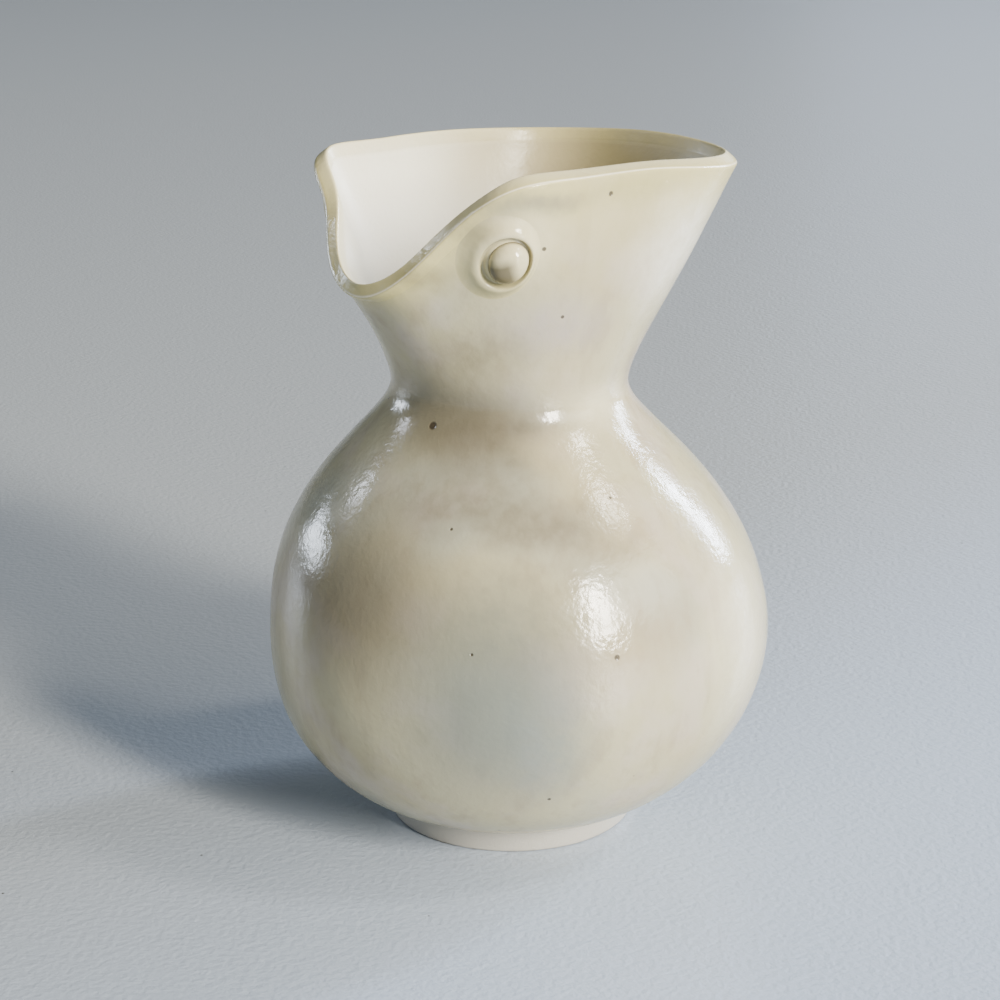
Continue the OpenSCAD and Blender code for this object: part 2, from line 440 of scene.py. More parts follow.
def wrapped(
    name: str,
    columns: int,
    rows: int,
    surface: Callable[[np.ndarray, np.ndarray], np.ndarray],
    marks: Mapping[str, Callable[[np.ndarray, np.ndarray], np.ndarray]],
) -> bpy.types.Object:
    """Bends a flat grid onto a surface and welds its seams.

    Args:
        name: The piece's name.
        columns: Faces along the first direction.
        rows: Faces along the second direction.
        surface: Gives the points, in millimetres, for places from 0 to 1 along both directions.
        marks: What the glaze reads at each point, by name, such as the height up the wall.

    Returns:
        The piece.
    """
    bpy.ops.object.select_all(action="DESELECT")
    bpy.ops.mesh.primitive_grid_add(
        x_subdivisions=columns, y_subdivisions=rows, size=1, location=(0, 0, 0))
    obj = bpy.context.active_object
    obj.name = obj.data.name = name
    flat = np.clip(points_of(obj) + 0.5, 0, 1)
    u, v = flat[:, 0], flat[:, 1]
    for title, mark in marks.items():
        layer = obj.data.attributes.new(title, "FLOAT", "POINT")
        layer.data.foreach_set("value", np.asarray(mark(u, v), np.float32))
    obj.data.vertices.foreach_set("co", (surface(u, v) * MM).ravel())
    obj.data.update()
    weld(obj)
    return obj


def spun(name: str, outline: np.ndarray, steps: int) -> bpy.types.Object:
    """Extrudes a point along an outline and spins the outline round the pot's axis.

    Args:
        name: The piece's name.
        outline: Reach and height of each point, in millimetres.
        steps: Faces round the axis.

    Returns:
        The piece.
    """
    bpy.ops.object.select_all(action="DESELECT")
    bpy.ops.mesh.primitive_plane_add(size=MM, location=(0, 0, 0))
    obj = bpy.context.active_object
    obj.name = obj.data.name = name
    path = [Vector((r * MM, 0, z * MM)) for r, z in outline]
    bpy.ops.object.mode_set(mode="EDIT")
    bpy.ops.mesh.select_all(action="SELECT")
    bpy.ops.mesh.merge(type="CENTER")
    bpy.ops.transform.translate(value=path[0])
    for start, end in zip(path, path[1:]):
        bpy.ops.mesh.extrude_region_move(TRANSFORM_OT_translate={"value": end - start})
    bpy.ops.mesh.select_all(action="SELECT")
    bpy.ops.mesh.spin(steps=steps, angle=math.tau, center=(0, 0, 0), axis=(0, 0, 1))
    bpy.ops.object.mode_set(mode="OBJECT")
    weld(obj)
    return obj


def rounded(
    corners: Sequence[tuple[float, float]], radius: float, arc: int = 6
) -> list[tuple[float, float]]:
    """Rounds the inner corners of an open outline.

    Args:
        corners: Corners as reach and height.
        radius: Rounding radius.
        arc: Faces on each rounding.

    Returns:
        The rounded outline.
    """
    outline = [corners[0]]
    for before, corner, after in zip(corners, corners[1:], corners[2:]):
        middle = Vector(corner)
        back, ahead = Vector(before) - middle, Vector(after) - middle
        start, end = middle + back.normalized() * radius, middle + ahead.normalized() * radius
        for i in range(arc + 1):
            t = i / arc
            outline.append(tuple((1 - t) ** 2 * start + 2 * t * (1 - t) * middle + t * t * end))
    return outline + [corners[-1]]


@dataclass
class Workshop:
    """What every piece shares: the pot's shape and the hand's unevenness."""

    shape: PotShape
    wander: Wander
    crease: float = 50.0

    def finish(
        self, obj: bpy.types.Object, node: str, slot: Slot, material: bpy.types.Material
    ) -> bpy.types.Object:
        """Gives a piece the hand's unevenness, smooth shading, its material and its place on the body.

        Args:
            obj: The piece.
            node: The construction's node that it stands for.
            slot: The record's slot.
            material: Its material.

        Returns:
            The piece.
        """
        mesh = obj.data
        mesh.vertices.foreach_set("co", (self.wander.settle(points_of(obj) / MM) * MM).ravel())
        mesh.update()
        only(obj)
        bpy.ops.object.shade_smooth_by_angle(angle=math.radians(self.crease))
        mesh.materials.clear()
        mesh.materials.append(material)
        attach(obj, "root")
        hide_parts(node)
        LOG.info("%s stands for %s: %d points, slot %s", obj.name, node, len(mesh.vertices), slot.value)
        return obj


# The pot's pieces


@dataclass
class Bulb:
    """The thrown globe with its floor, up to the waist."""

    shop: Workshop
    rows: int = 110
    columns: int = 240
    ridge_h: float = 0.35
    ridge_count: int = 13
    ridge_fade: float = 0.3

    def outline(self) -> np.ndarray:
        """Draws the wall: up the outside, down the inside with its throwing ridges, and the floor.

        Returns:
            Reach and height of each point of the outline.
        """
        s = self.shop.shape
        t = np.linspace(0, 2, self.rows)
        outer = s.bulb_outline(t)
        down = t[::-1]
        fade = np.clip((2 - down) / self.ridge_fade, 0, 1)
        ridges = self.ridge_h * fade * np.sin(math.pi * self.ridge_count * down) ** 2
        inner = s.bulb_outline(down) - (s.wall + ridges)[:, None] * s.bulb_normal(down)
        underside, floor = np.array([[0.0, s.foot_h]]), np.array([[0.0, s.foot_h + s.floor_t]])
        return np.concatenate([underside, outer, inner[inner[:, 1] > floor[0, 1]], floor])

    def build(self, material: bpy.types.Material) -> bpy.types.Object:
        """Spins the bulb and returns it.

        Args:
            material: The glaze.

        Returns:
            The piece.
        """
        obj = spun("bulb_wall", self.outline(), self.columns)
        self.mark_inside(obj)
        return self.shop.finish(obj, "bulb", Slot.GLAZE, material)

    def mark_inside(self, obj: bpy.types.Object) -> None:
        """Marks the inner wall and the floor, which are as white as the head's inside.

        Args:
            obj: The spun bulb.
        """
        points, outline = points_of(obj) / MM, self.outline()
        places = np.stack([np.hypot(points[:, 0], points[:, 1]), points[:, 2]], axis=1)
        nearest = np.argmin(np.linalg.norm(places[:, None] - outline[None], axis=2), axis=1)
        layer = obj.data.attributes.new("inside", "FLOAT", "POINT")
        layer.data.foreach_set("value", (nearest > self.rows).astype(np.float32))


@dataclass
class FootRing:
    """The trimmed ring that the pot stands on."""

    shop: Workshop
    columns: int = 240

    def build(self, material: bpy.types.Material) -> bpy.types.Object:
        """Spins the foot ring and returns it.

        Args:
            material: The bare clay with the glaze's edge.

        Returns:
            The piece.
        """
        s = self.shop.shape
        inner, middle = s.foot_d / 2 - s.foot_w, s.foot_d / 2 - s.foot_w / 2
        corners = [
            (middle, s.foot_h), (s.seat_d / 2, s.foot_h), (s.foot_d / 2, 0), (inner, 0),
            (inner - s.foot_batter, s.foot_h), (middle, s.foot_h),
        ]
        outline = corners[:2] + rounded(corners[1:-1], s.foot_edge_r)[1:] + corners[-1:]
        obj = spun("foot_ring_clay", np.array(outline), self.columns)
        return self.shop.finish(obj, "foot_ring", Slot.BARE_CLAY, material)


@dataclass
class Head:
    """The flared collar above the waist, drawn into the spout and pinched at the sides."""

    shop: Workshop
    rows: int = 60
    columns: int = 400
    across: int = 4

    @property
    def count(self) -> int:
        """Returns how many rows there are round the section."""
        return 2 * (self.rows + self.across)

    def section(self, v: np.ndarray) -> tuple[np.ndarray, np.ndarray]:
        """Runs round the wall's closed section: up the outside, over the top and down the inside.

        Args:
            v: Places round the section, from 0 to 1.

        Returns:
            Rise, and depth as a share of the wall.
        """
        rows = [0, self.rows, self.rows + self.across, 2 * self.rows + self.across, self.count]
        rise = np.interp(v * self.count, rows, [0, 1, 1, 0, 0])
        depth = np.interp(v * self.count, rows, [0, 0, 1, 1, 0])
        return rise, depth

    def surface(self, u: np.ndarray, v: np.ndarray) -> np.ndarray:
        """Places the wall's points.

        Args:
            u: Places round the pot, from 0 to 1.
            v: Places round the wall's section, from 0 to 1.

        Returns:
            The points.
        """
        s = self.shop.shape
        rise, depth = self.section(v)
        deep = s.thickness(360 * u, rise) * depth
        return s.head_point(360 * u, rise) - deep[:, None] * s.head_normal(360 * u, rise)

    def build(self, material: bpy.types.Material) -> bpy.types.Object:
        """Wraps the head's wall and returns it.

        Args:
            material: The glaze.

        Returns:
            The piece.
        """
        obj = wrapped(
            "head_wall", self.columns, self.count, self.surface,
            {"rise": lambda u, v: self.section(v)[0], "inside": lambda u, v: self.section(v)[1]})
        return self.shop.finish(obj, "head", Slot.GLAZE, material)


@dataclass
class Lip:
    """The rounded roll of clay that finishes the rim and folds out at the spout."""

    shop: Workshop
    columns: int = 400
    side_rows: int = 4
    roll_rows: int = 40
    roll_start: float = 0.0
    roll_end: float = 200.0
    crest_rise: float = 1.12
    outer_squareness: float = 4.5
    inner_squareness: float = 5.0
    bevel: float = 0.95
    spout_bevel: float = 0.3
    # Where the painted highlight lies over the roll, in degrees, how wide it is, and its share along the
    # top
    corner: float = 48.0
    corner_w: float = 11.0
    top: float = 105.0
    top_w: float = 30.0
    top_share: float = 0.35

    @property
    def rolled(self) -> int:
        """Returns the row at which the roll ends on the inner side."""
        return self.side_rows + self.roll_rows

    @property
    def count(self) -> int:
        """Returns how many rows there are round the section."""
        return self.rolled + 2 * self.side_rows

    def surface(self, u: np.ndarray, v: np.ndarray) -> np.ndarray:
        """Places the lip's points: up its outer side, over the roll, down to the inner seat and back.

        Args:
            u: Places round the pot, from 0 to 1.
            v: Places round the lip's section, from 0 to 1.

        Returns:
            The points.
        """
        s = self.shop.shape
        turn = 360 * u
        seat, out, up = s.seat_point(turn), s.rim_out(turn), s.rim_up(turn)
        wall = s.thickness(turn, np.ones_like(turn))
        inner_seat = s.head_point(turn, 1.0) - wall[:, None] * s.head_normal(turn, 1.0)
        swell = s.spout_swell * s.spout_share(turn)
        middle = s.lip_h * s.lip_middle_share
        step = v * self.count
        lean = np.radians(self.lean(step))
        side, rise = np.cos(lean), np.sin(lean)
        square = 2 / np.where(side > 0, self.outer_squareness, self.inner_squareness)
        side, rise = np.sign(side) * np.abs(side) ** square, np.sign(rise) * np.abs(rise) ** square
        half = wall / 2 + swell * (1 + side) / 2
        bevel = self.bevel + self.spout_bevel * s.spout_share(turn)
        drop = bevel * np.clip(rise, 0, 1) * (1 + side) / 2
        roll = (
            seat + (half * side - wall / 2)[:, None] * out
            + (middle + (s.lip_h - middle) * rise - drop)[:, None] * up)
        rising = np.clip(step / self.side_rows, 0, 1)[:, None]
        falling = np.clip((step - self.rolled) / self.side_rows, 0, 1)[:, None]
        closing = np.clip((step - self.rolled - self.side_rows) / self.side_rows, 0, 1)[:, None]
        points = seat * (1 - rising) + roll * rising
        points = points * (1 - falling) + inner_seat * falling
        return points * (1 - closing) + seat * closing

    def lean(self, step: np.ndarray) -> np.ndarray:
        """Returns how far over the roll the rows of the section lie, in degrees from its outer side."""
        return np.interp(step, [self.side_rows, self.rolled], [self.roll_start, self.roll_end])

    def rise(self, u: np.ndarray, v: np.ndarray) -> np.ndarray:
        """Tells the glaze how far up the wall the lip stands, a little over 1 at its crest.

        Args:
            u: Places round the pot, from 0 to 1.
            v: Places round the lip's section, from 0 to 1.

        Returns:
            The rises.
        """
        crest, seat = (self.side_rows + self.rolled) / 2, self.rolled + self.side_rows
        return np.interp(v * self.count, [0, crest, seat], [1, self.crest_rise, 1]) + 0 * u

    def inside(self, u: np.ndarray, v: np.ndarray) -> np.ndarray:
        """Tells the glaze which part of the lip is inside.

        Args:
            u: Places round the pot, from 0 to 1.
            v: Places round the lip's section, from 0 to 1.

        Returns:
            Shares: 1 at the foot of the inner face, 0 on the crest and the outer face.
        """
        crest, seat = (self.side_rows + self.rolled) / 2, self.rolled + self.side_rows
        return np.interp(v * self.count, [crest, seat, self.count], [0, 1, 0]) + 0 * u

    def crest(self, u: np.ndarray, v: np.ndarray) -> np.ndarray:
        """Tells the glaze where to paint a pale highlight: most along the roll's outer corner, less along
        its top.

        Args:
            u: Places round the pot, from 0 to 1.
            v: Places round the lip's section, from 0 to 1.

        Returns:
            Shares.
        """
        lean = self.lean(v * self.count)
        corner = np.exp(-((lean - self.corner) / self.corner_w) ** 2)
        # The painted highlight along the top fades out at the spout
        beside = 1 - self.shop.shape.spout_share(360 * u)
        top = self.top_share * beside * np.exp(-((lean - self.top) / self.top_w) ** 2)
        return np.maximum(corner, top)

    def build(self, material: bpy.types.Material) -> bpy.types.Object:
        """Wraps the lip's roll and returns it.

        Args:
            material: The thin glaze.

        Returns:
            The piece.
        """
        obj = wrapped(
            "rim_lip", self.columns, self.count, self.surface,
            {"rise": self.rise, "inside": self.inside, "crest": self.crest})
        return self.shop.finish(obj, "lip", Slot.THIN_GLAZE, material)


@dataclass
class Eye:
    """A clay pad pressed onto the head, and the pellet pressed into it."""

    shop: Workshop
    side: Side
    turn: float
    z: float = 134.5
    pad_r: float = 9.4
    press_r: float = 5.4
    bead_r: float = 4.25
    bead_h: float = 3.3
    bead_roundness: float = 0.8
    bead_share: float = 0.85
    bead_low: float = -28.0
    bead_aside: float = 0.5
    bead_lift: float = -0.15
    stretch: float = 0.075
    stretch_bearing: float = 55.0
    smear_aside: float = -1.4
    smear_lift: float = 1.1
    edge_fade: float = 4.0
    # Painted shade: how far down and towards the spout the olive reaches over the pellet, and how softly
    # it ends
    painted_shade_low: float = -0.6
    painted_shade_ahead: float = 0.4
    painted_shade_fade: float = 0.45
    sunk: float = 0.7
    back_share: float = 0.2
    rings: int = 64
    back_rings: int = 4
    columns: int = 120
    search_steps: int = 8
    profile_steps: int = 200
    groove_r: float = 4.95
    groove_w: float = 0.5
    groove_share: float = 0.4
    pad_rise: float = 0.9
    pad_places: tuple[float, ...] = (0, 4.0, 4.75, 5.1, 5.35, 5.6, 6.3, 7.4, 8.5, 9.4)
    pad_heights: tuple[float, ...] = (0.5, 0.45, 0.1, 0.25, 1.0, 1.35, 1.3, 0.66, 0.16, -0.03)

    @property
    def middle_turn(self) -> float:
        """Returns the turn of the eye's middle, to its own side of the spout."""
        return self.side.value * self.turn

    def under(self, goal: np.ndarray) -> tuple[np.ndarray, np.ndarray]:
        """Finds the place on the head's face under places in the eye's plane.

        Args:
            goal: Points in the eye's plane.

        Returns:
            Turn and rise of the head's face under each.
        """
        s, start = self.shop.shape, self.middle_turn
        level = s.rise_to(start, self.z)
        per_turn = (s.head_point(start + 1, level) - s.head_point(start - 1, level)) / 2
        per_rise = (
            s.head_point(start, level + s.rise_step)
            - s.head_point(start, level - s.rise_step)) / (2 * s.rise_step)
        side, up = self.plane()
        turn, rise = np.full(len(goal), float(start)), np.full(len(goal), float(level))
        for _ in range(self.search_steps):
            gap = goal - s.head_point(turn, rise)
            more_rise = gap @ up / (per_rise @ up)
            turn = turn + (gap @ side - more_rise * (per_rise @ side)) / (per_turn @ side)
            rise = rise + more_rise
        return turn, rise

    def plane(self) -> tuple[np.ndarray, np.ndarray]:
        """Finds the eye's plane.

        Returns:
            Its two directions: along the head and up it.
        """
        s, turn = self.shop.shape, self.middle_turn
        rise = s.rise_to(turn, self.z)
        side = unit(s.head_point(turn + 1, rise) - s.head_point(turn - 1, rise))
        return side, unit(np.cross(s.head_normal(turn, rise), side))

    def over(
        self, away: np.ndarray, bearing: np.ndarray, height: np.ndarray, aside: np.ndarray,
        lift: np.ndarray
    ) -> np.ndarray:
        """Returns points over the head's face, at a distance and a bearing from the middle of the eye.

        Args:
            away: Distances along the face.
            bearing: Bearings in radians.
            height: Heights above the face.
            aside: Sideways shifts of the middle, along the head and away from the spout.
            lift: Upward shifts of the middle.

        Returns:
            The points.
        """
        s, turn = self.shop.shape, self.middle_turn
        side, up = self.plane()
        along = away * np.cos(bearing) + self.side.value * aside
        goal = (
            s.head_point(turn, s.rise_to(turn, self.z))
            + along[:, None] * side + (away * np.sin(bearing) + lift)[:, None] * up)
        at = self.under(goal)
        return s.head_point(*at) + height[:, None] * s.head_normal(*at)

    def oval(self, away: np.ndarray, bearing: np.ndarray) -> np.ndarray:
        """Returns distances drawn out a little along one bearing, as a stamp leaves them."""
        lean = self.side.value * math.radians(self.stretch_bearing)
        return away * (1 + self.stretch * np.cos(2 * (bearing - lean)))

    def pad_away(self, v: np.ndarray) -> np.ndarray:
        """Returns distances from the middle for places along the pad's section."""
        rim = self.rings - self.back_rings
        return np.interp(v * self.rings, [0, rim, self.rings], [0, self.pad_r, 0])

    def pad_surface(self, u: np.ndarray, v: np.ndarray) -> np.ndarray:
        """Places the pad's points: its face in the first part of v, its sunk back in the rest.

        Args:
            u: Places round the eye, from 0 to 1.
            v: Places along the pad's section, from 0 to 1.

        Returns:
            The points.
        """
        past = v * self.rings - (self.rings - self.back_rings)
        away = self.pad_away(v)
        places = np.linspace(0, self.pad_places[-1], self.profile_steps)
        face = np.interp(away, places, through(self.pad_places, self.pad_heights, places))
        height = np.where(past <= 0, face, -self.sunk * np.clip(past, self.back_share, 1))
        smear = np.clip((away - self.press_r) / (self.pad_r - self.press_r), 0, 1)
        bearing = math.tau * u
        return self.over(
            self.oval(away, bearing), bearing, height, self.smear_aside * smear, self.smear_lift * smear)

    def rise(self, u: np.ndarray, v: np.ndarray) -> np.ndarray:
        """Returns how far up the wall the eye counts for the glaze's straw tinge, the same all over."""
        return np.full_like(u, self.pad_rise)

    def pad_pool(self, u: np.ndarray, v: np.ndarray) -> np.ndarray:
        """Returns how thick the glaze lies on the pad, which is in the groove round the pellet."""
        return self.groove_share * np.exp(-((self.pad_away(v) - self.groove_r) / self.groove_w) ** 2)

    def bead_lean(self, v: np.ndarray) -> np.ndarray:
        """Returns how far round the dome the pellet's places stand, in radians from its edge."""
        return np.radians(np.interp(v, [0, self.bead_share, 1], [90, self.bead_low, self.bead_low]))

    def bead_pool_and_shade(self, u: np.ndarray, v: np.ndarray) -> np.ndarray:
        """Tells how olive the pellet is: glaze pooled at its edge, and painted shade over its lower side
        towards the spout.

        Args:
            u: Places round the eye, from 0 to 1.
            v: Places along the pellet's section, from 0 to 1.

        Returns:
            Shares.
        """
        lean, bearing = self.bead_lean(v), math.tau * u
        away = np.cos(lean) ** self.bead_roundness
        down, ahead = -away * np.sin(bearing), -away * self.side.value * np.cos(bearing)
        # Painted shade over the pellet's lower side towards the spout, apart from the glaze pooled at its
        # edge
        below = np.clip((down - self.painted_shade_low) / self.painted_shade_fade, 0, 1)
        beside = np.clip((ahead + self.painted_shade_ahead) / self.painted_shade_fade, 0, 1)
        return np.maximum(np.clip(1 - self.edge_fade * lean, 0, 1), below * beside)

    def bead_surface(self, u: np.ndarray, v: np.ndarray) -> np.ndarray:
        """Places the pellet's points: its dome first, its sunk underside in the rest.

        Args:
            u: Places round the eye, from 0 to 1.
            v: Places along the pellet's section, from 0 to 1.

        Returns:
            The points.
        """
        lean = self.bead_lean(v)
        under = np.interp(v, [self.bead_share, 1], [1, 0])
        away = self.bead_r * under * np.cos(lean) ** self.bead_roundness
        height = self.bead_h * np.sin(lean) + self.pad_heights[0]
        bearing = math.tau * u
        aside, lift = np.full_like(u, self.bead_aside), np.full_like(u, self.bead_lift)
        return self.over(self.oval(away, bearing), bearing, height, aside, lift)

    def build(self, material: bpy.types.Material) -> tuple[bpy.types.Object, bpy.types.Object]:
        """Wraps the pad and the pellet and returns them.

        Args:
            material: The glaze.

        Returns:
            The pad and the pellet.
        """
        name = self.side.name.lower()
        pad = wrapped(
            f"{name}_eye_mound", self.columns, self.rings, self.pad_surface,
            {"rise": self.rise, "pool_and_shade": self.pad_pool})
        bead = wrapped(
            f"{name}_eye_pellet", self.columns, self.rings, self.bead_surface,
            {"rise": self.rise, "pool_and_shade": self.bead_pool_and_shade})
        self.shop.finish(pad, f"{name}_eye_pad", Slot.GLAZE, material)
        self.shop.finish(bead, f"{name}_eye_bead", Slot.THIN_GLAZE, material)
        return pad, bead


# Finishes


def linear(colour: str) -> tuple[float, float, float, float]:
    """Turns an sRGB hex colour to linear light.

    Args:
        colour: The colour, such as "#e6dfd0".

    Returns:
        Red, green, blue and alpha.
    """
    shares = [int(colour[i:i + 2], 16) / 255 for i in (1, 3, 5)]
    return (*[
        s / SRGB_SLOPE if s <= SRGB_KNEE else ((s + SRGB_LIFT) / (1 + SRGB_LIFT)) ** SRGB_POWER
        for s in shares], 1.0)


def node_in(
    tree: bpy.types.NodeTree, kind: str, settings: Mapping[str, Any] | None = None, **sockets: Any
) -> bpy.types.Node:
    """Adds a node with its settings, values and links.

    Args:
        tree: The node tree.
        kind: The node's type.
        settings: The node's own settings.
        sockets: Values, outputs or nodes for its inputs, by name with underscores for spaces, or in0, in1
            by place. A node stands for its first enabled output.

    Returns:
        The node.
    """
    node = tree.nodes.new(kind)
    for name, value in (settings or {}).items():
        setattr(node, name, value)
    for name, value in sockets.items():
        by_place = name[:2] == "in" and name[2:].isdigit()
        socket = node.inputs[int(name[2:]) if by_place else name.replace("_", " ")]
        if isinstance(value, bpy.types.Node):
            value = next(output for output in value.outputs if output.enabled)
        if isinstance(value, bpy.types.NodeSocket):
            tree.links.new(value, socket)
        else:
            socket.default_value = value
    return node


SMOOTH = {"interpolation_type": "SMOOTHSTEP"}
COLOUR = {"data_type": "RGBA"}


@dataclass(frozen=True)
class Pit:
    """A small dark fault in the glaze, by its place on the wall and its size in millimetres."""

    turn: float
    z: float
    size: float
    depth: float = 1.0


@dataclass(frozen=True)
class Patch:
    """A soft cloud of one colour at one place on the wall, with its half width and half height."""

    turn: float
    z: float
    wide: float
    high: float
    colour: str
    share: float
    ragged: bool = True


@dataclass(frozen=True)
class Cloud:
    """Soft clouds of one colour all over the glaze, by their size and how drawn out they are."""

    colour: str
    size: float
    share: float
    low: float = 0.45
    high: float = 0.68
    stretch: float = 1.0
    offset: float = 0.0
    detail: float = 3.0


@dataclass(frozen=True)
class SatinGlaze:
    """Semi-matte titanium and tin glaze on stoneware, poured and fired in reduction.

    It gives a buttery cream skin that turns beige where it is thin and blue-grey where it lies thick, a
    soft sheen broken by a fine orange peel, a straw tinge where it ran off the rim, and a few iron specks.
    The craters are coarser than the real pores, which would be too fine to show. All sizes are in
    millimetres, and each detail counts the layers of finer grain in a noise.
    """

    name: str
    shape: PotShape
    wander: Wander
    cream: str = "#b8b08d"
    inner: str = "#f6f3e8"
    # pale is the colour of the painted highlight along the lip
    pale: str = "#fbf3da"
    straw: str = "#cec283"
    olive: str = "#665d42"
    iron: str = "#33291d"
    clouds: tuple[Cloud, ...] = (
        Cloud("#afa078", 34.0, 0.6, 0.44, 0.66, offset=0.31),
        Cloud("#9ba29f", 46.0, 0.5, 0.5, 0.68, offset=0.77, detail=2.0),
        Cloud("#c1b4ad", 17.0, 0.4, 0.48, 0.7, offset=0.53),
        Cloud("#928369", 5.5, 0.3, 0.5, 0.72, stretch=4.0, offset=0.17),
        Cloud("#7b7056", 2.6, 0.15, 0.5, 0.78, stretch=1.6, offset=0.05),
    )
    # The glaze's own patches of colour, with painted shade and painted light among them where marked
    patches: tuple[Patch, ...] = (
        Patch(26.0, 98.0, 30.0, 15.0, "#666051", 0.85, ragged=False),
        Patch(48.0, 95.0, 24.0, 11.0, "#625b4a", 0.75),
        Patch(38.0, 84.0, 27.0, 9.0, "#6f6651", 0.7),
        Patch(60.0, 79.5, 22.0, 7.0, "#706653", 0.7),
        Patch(76.0, 74.5, 14.0, 6.0, "#7c725c", 0.5),
        # Painted shade on the belly's side turned away from the lights
        Patch(12.0, 64.0, 30.0, 30.0, "#726b59", 0.85, ragged=False),
        Patch(48.0, 62.0, 32.0, 20.0, "#7d7967", 0.6),
        Patch(44.0, 44.0, 32.0, 36.0, "#6c736c", 0.85, ragged=False),
        Patch(56.0, 36.0, 15.0, 24.0, "#7a8484", 0.55),
        Patch(83.0, 58.0, 22.0, 13.0, "#a7987b", 0.6),
        Patch(70.0, 93.0, 12.0, 7.0, "#c7bb98", 0.6),
        Patch(52.0, 146.0, 15.0, 3.5, "#88866f", 0.55),
        Patch(66.0, 119.0, 20.0, 11.0, "#aca2a2", 0.6),
        Patch(38.0, 113.0, 17.0, 10.0, "#887f60", 0.7),
        Patch(88.0, 105.0, 16.0, 10.0, "#b8af8e", 0.5),
        # Painted light on the upper side of the left eye's mound
        Patch(50.0, 138.0, 14.0, 11.0, "#dcd2ab", 0.8),
        Patch(92.0, 147.5, 24.0, 6.5, "#a89d68", 0.6),
        Patch(19.0, 130.5, 10.0, 4.5, "#847a55", 0.6),
        Patch(34.0, 141.0, 9.0, 4.0, "#8f8560", 0.5),
        Patch(60.0, 147.0, 14.0, 3.2, "#8d866b", 0.6),
        Patch(94.0, 139.0, 15.0, 8.0, "#b3a874", 0.5),
        # Painted light on the head's side towards the lights
        Patch(120.0, 132.0, 22.0, 20.0, "#e2ddca", 0.9),
        # Painted light on the belly's side towards the lights
        Patch(112.0, 52.0, 22.0, 34.0, "#d8d2b2", 0.75),
        # Painted light at the waist, on the side towards the lights
        Patch(98.0, 100.0, 14.0, 8.0, "#dcd3b4", 0.6),
    )
    # Painted shade inside the mouth: the far inner wall made darker and warmer where less light reaches it
    inner_painted_shade: tuple[Patch, ...] = (
        Patch(190.0, 150.0, 56.0, 48.0, "#6e613f", 0.94, ragged=False),
        Patch(226.0, 150.0, 40.0, 40.0, "#8d8063", 0.85, ragged=False),
    )
    patch_core: float = 0.1
    drift_size: float = 9.0
    drift_detail: float = 4.0
    drift: float = 7.0
    mottle_size: float = 3.0
    mottle_detail: float = 3.0
    mottle_low: float = 0.28
    mottle_high: float = 0.72
    mottle_least: float = 0.7
    inner_share: float = 0.9
    inner_dulling: float = 0.22
    inner_straw: float = 0.3
    painted_highlight_share: float = 0.85
    straw_share: float = 0.9
    straw_from: float = 0.66
    straw_to: float = 1.06
    straw_size: float = 20.0
    straw_detail: float = 3.0
    # How strongly the olive shows: glaze pooled in the eyes, and painted shade on the pellets
    pool_and_shade_share: float = 0.95
    speck_spacing: float = 13.0
    speck_size: float = 0.42
    speck_rarity: float = 0.6
    speck_share: float = 0.85
    wave_size: float = 1.4
    wave_detail: float = 2.0
    crater_size: float = 0.5
    crater_detail: float = 1.0
    crater_share: float = 0.05
    dimple_size: float = 7.0
    dimple_detail: float = 1.0
    dimple_share: float = 1.3
    pit_depth: float = 1.6
    relief: float = 0.075
    sheen_least: float = 0.13
    sheen_most: float = 0.24
    ior: float = 1.54
    pits: tuple[Pit, ...] = (
        Pit(15.0, 96.3, 1.15), Pit(71.9, 55.0, 0.75), Pit(58.4, 22.9, 0.5), Pit(46.1, 10.7, 0.45),
        Pit(58.3, 136.7, 0.6), Pit(80.3, 147.0, 0.7), Pit(67.8, 121.4, 0.5), Pit(40.5, 56.8, 0.4),
        Pit(33.2, 79.4, 0.4), Pit(81.6, 83.8, 0.4),
    )

    def spot(self, turn: float, z: float) -> Vector:
        """Returns the place on the finished wall, in metres, at a turn and a height."""
        return Vector(self.wander.settle(self.shape.wall_place(turn, z)[None])[0] * MM)

    def clouded(self, tree: bpy.types.NodeTree, place: bpy.types.NodeSocket) -> bpy.types.Node:
        """Lays the clouds that run all over the glaze.

        Args:
            tree: The node tree.
            place: The place on the pot.

        Returns:
            The colour.
        """
        colour = linear(self.cream)
        for cloud in self.clouds:
            size = cloud.size * MM
            drawn = node_in(
                tree, "ShaderNodeMapping", None, Vector=place, Location=(cloud.offset,) * 3,
                Scale=(1 / size, 1 / size, 1 / (size * cloud.stretch)))
            grain = node_in(
                tree, "ShaderNodeTexNoise", None, Vector=drawn, Scale=1.0, Detail=cloud.detail)
            share = node_in(
                tree, "ShaderNodeMapRange", SMOOTH, Value=grain, From_Min=cloud.low, From_Max=cloud.high,
                To_Max=cloud.share)
            colour = node_in(
                tree, "ShaderNodeMix", COLOUR, in0=share, in6=colour, in7=linear(cloud.colour))
        return colour

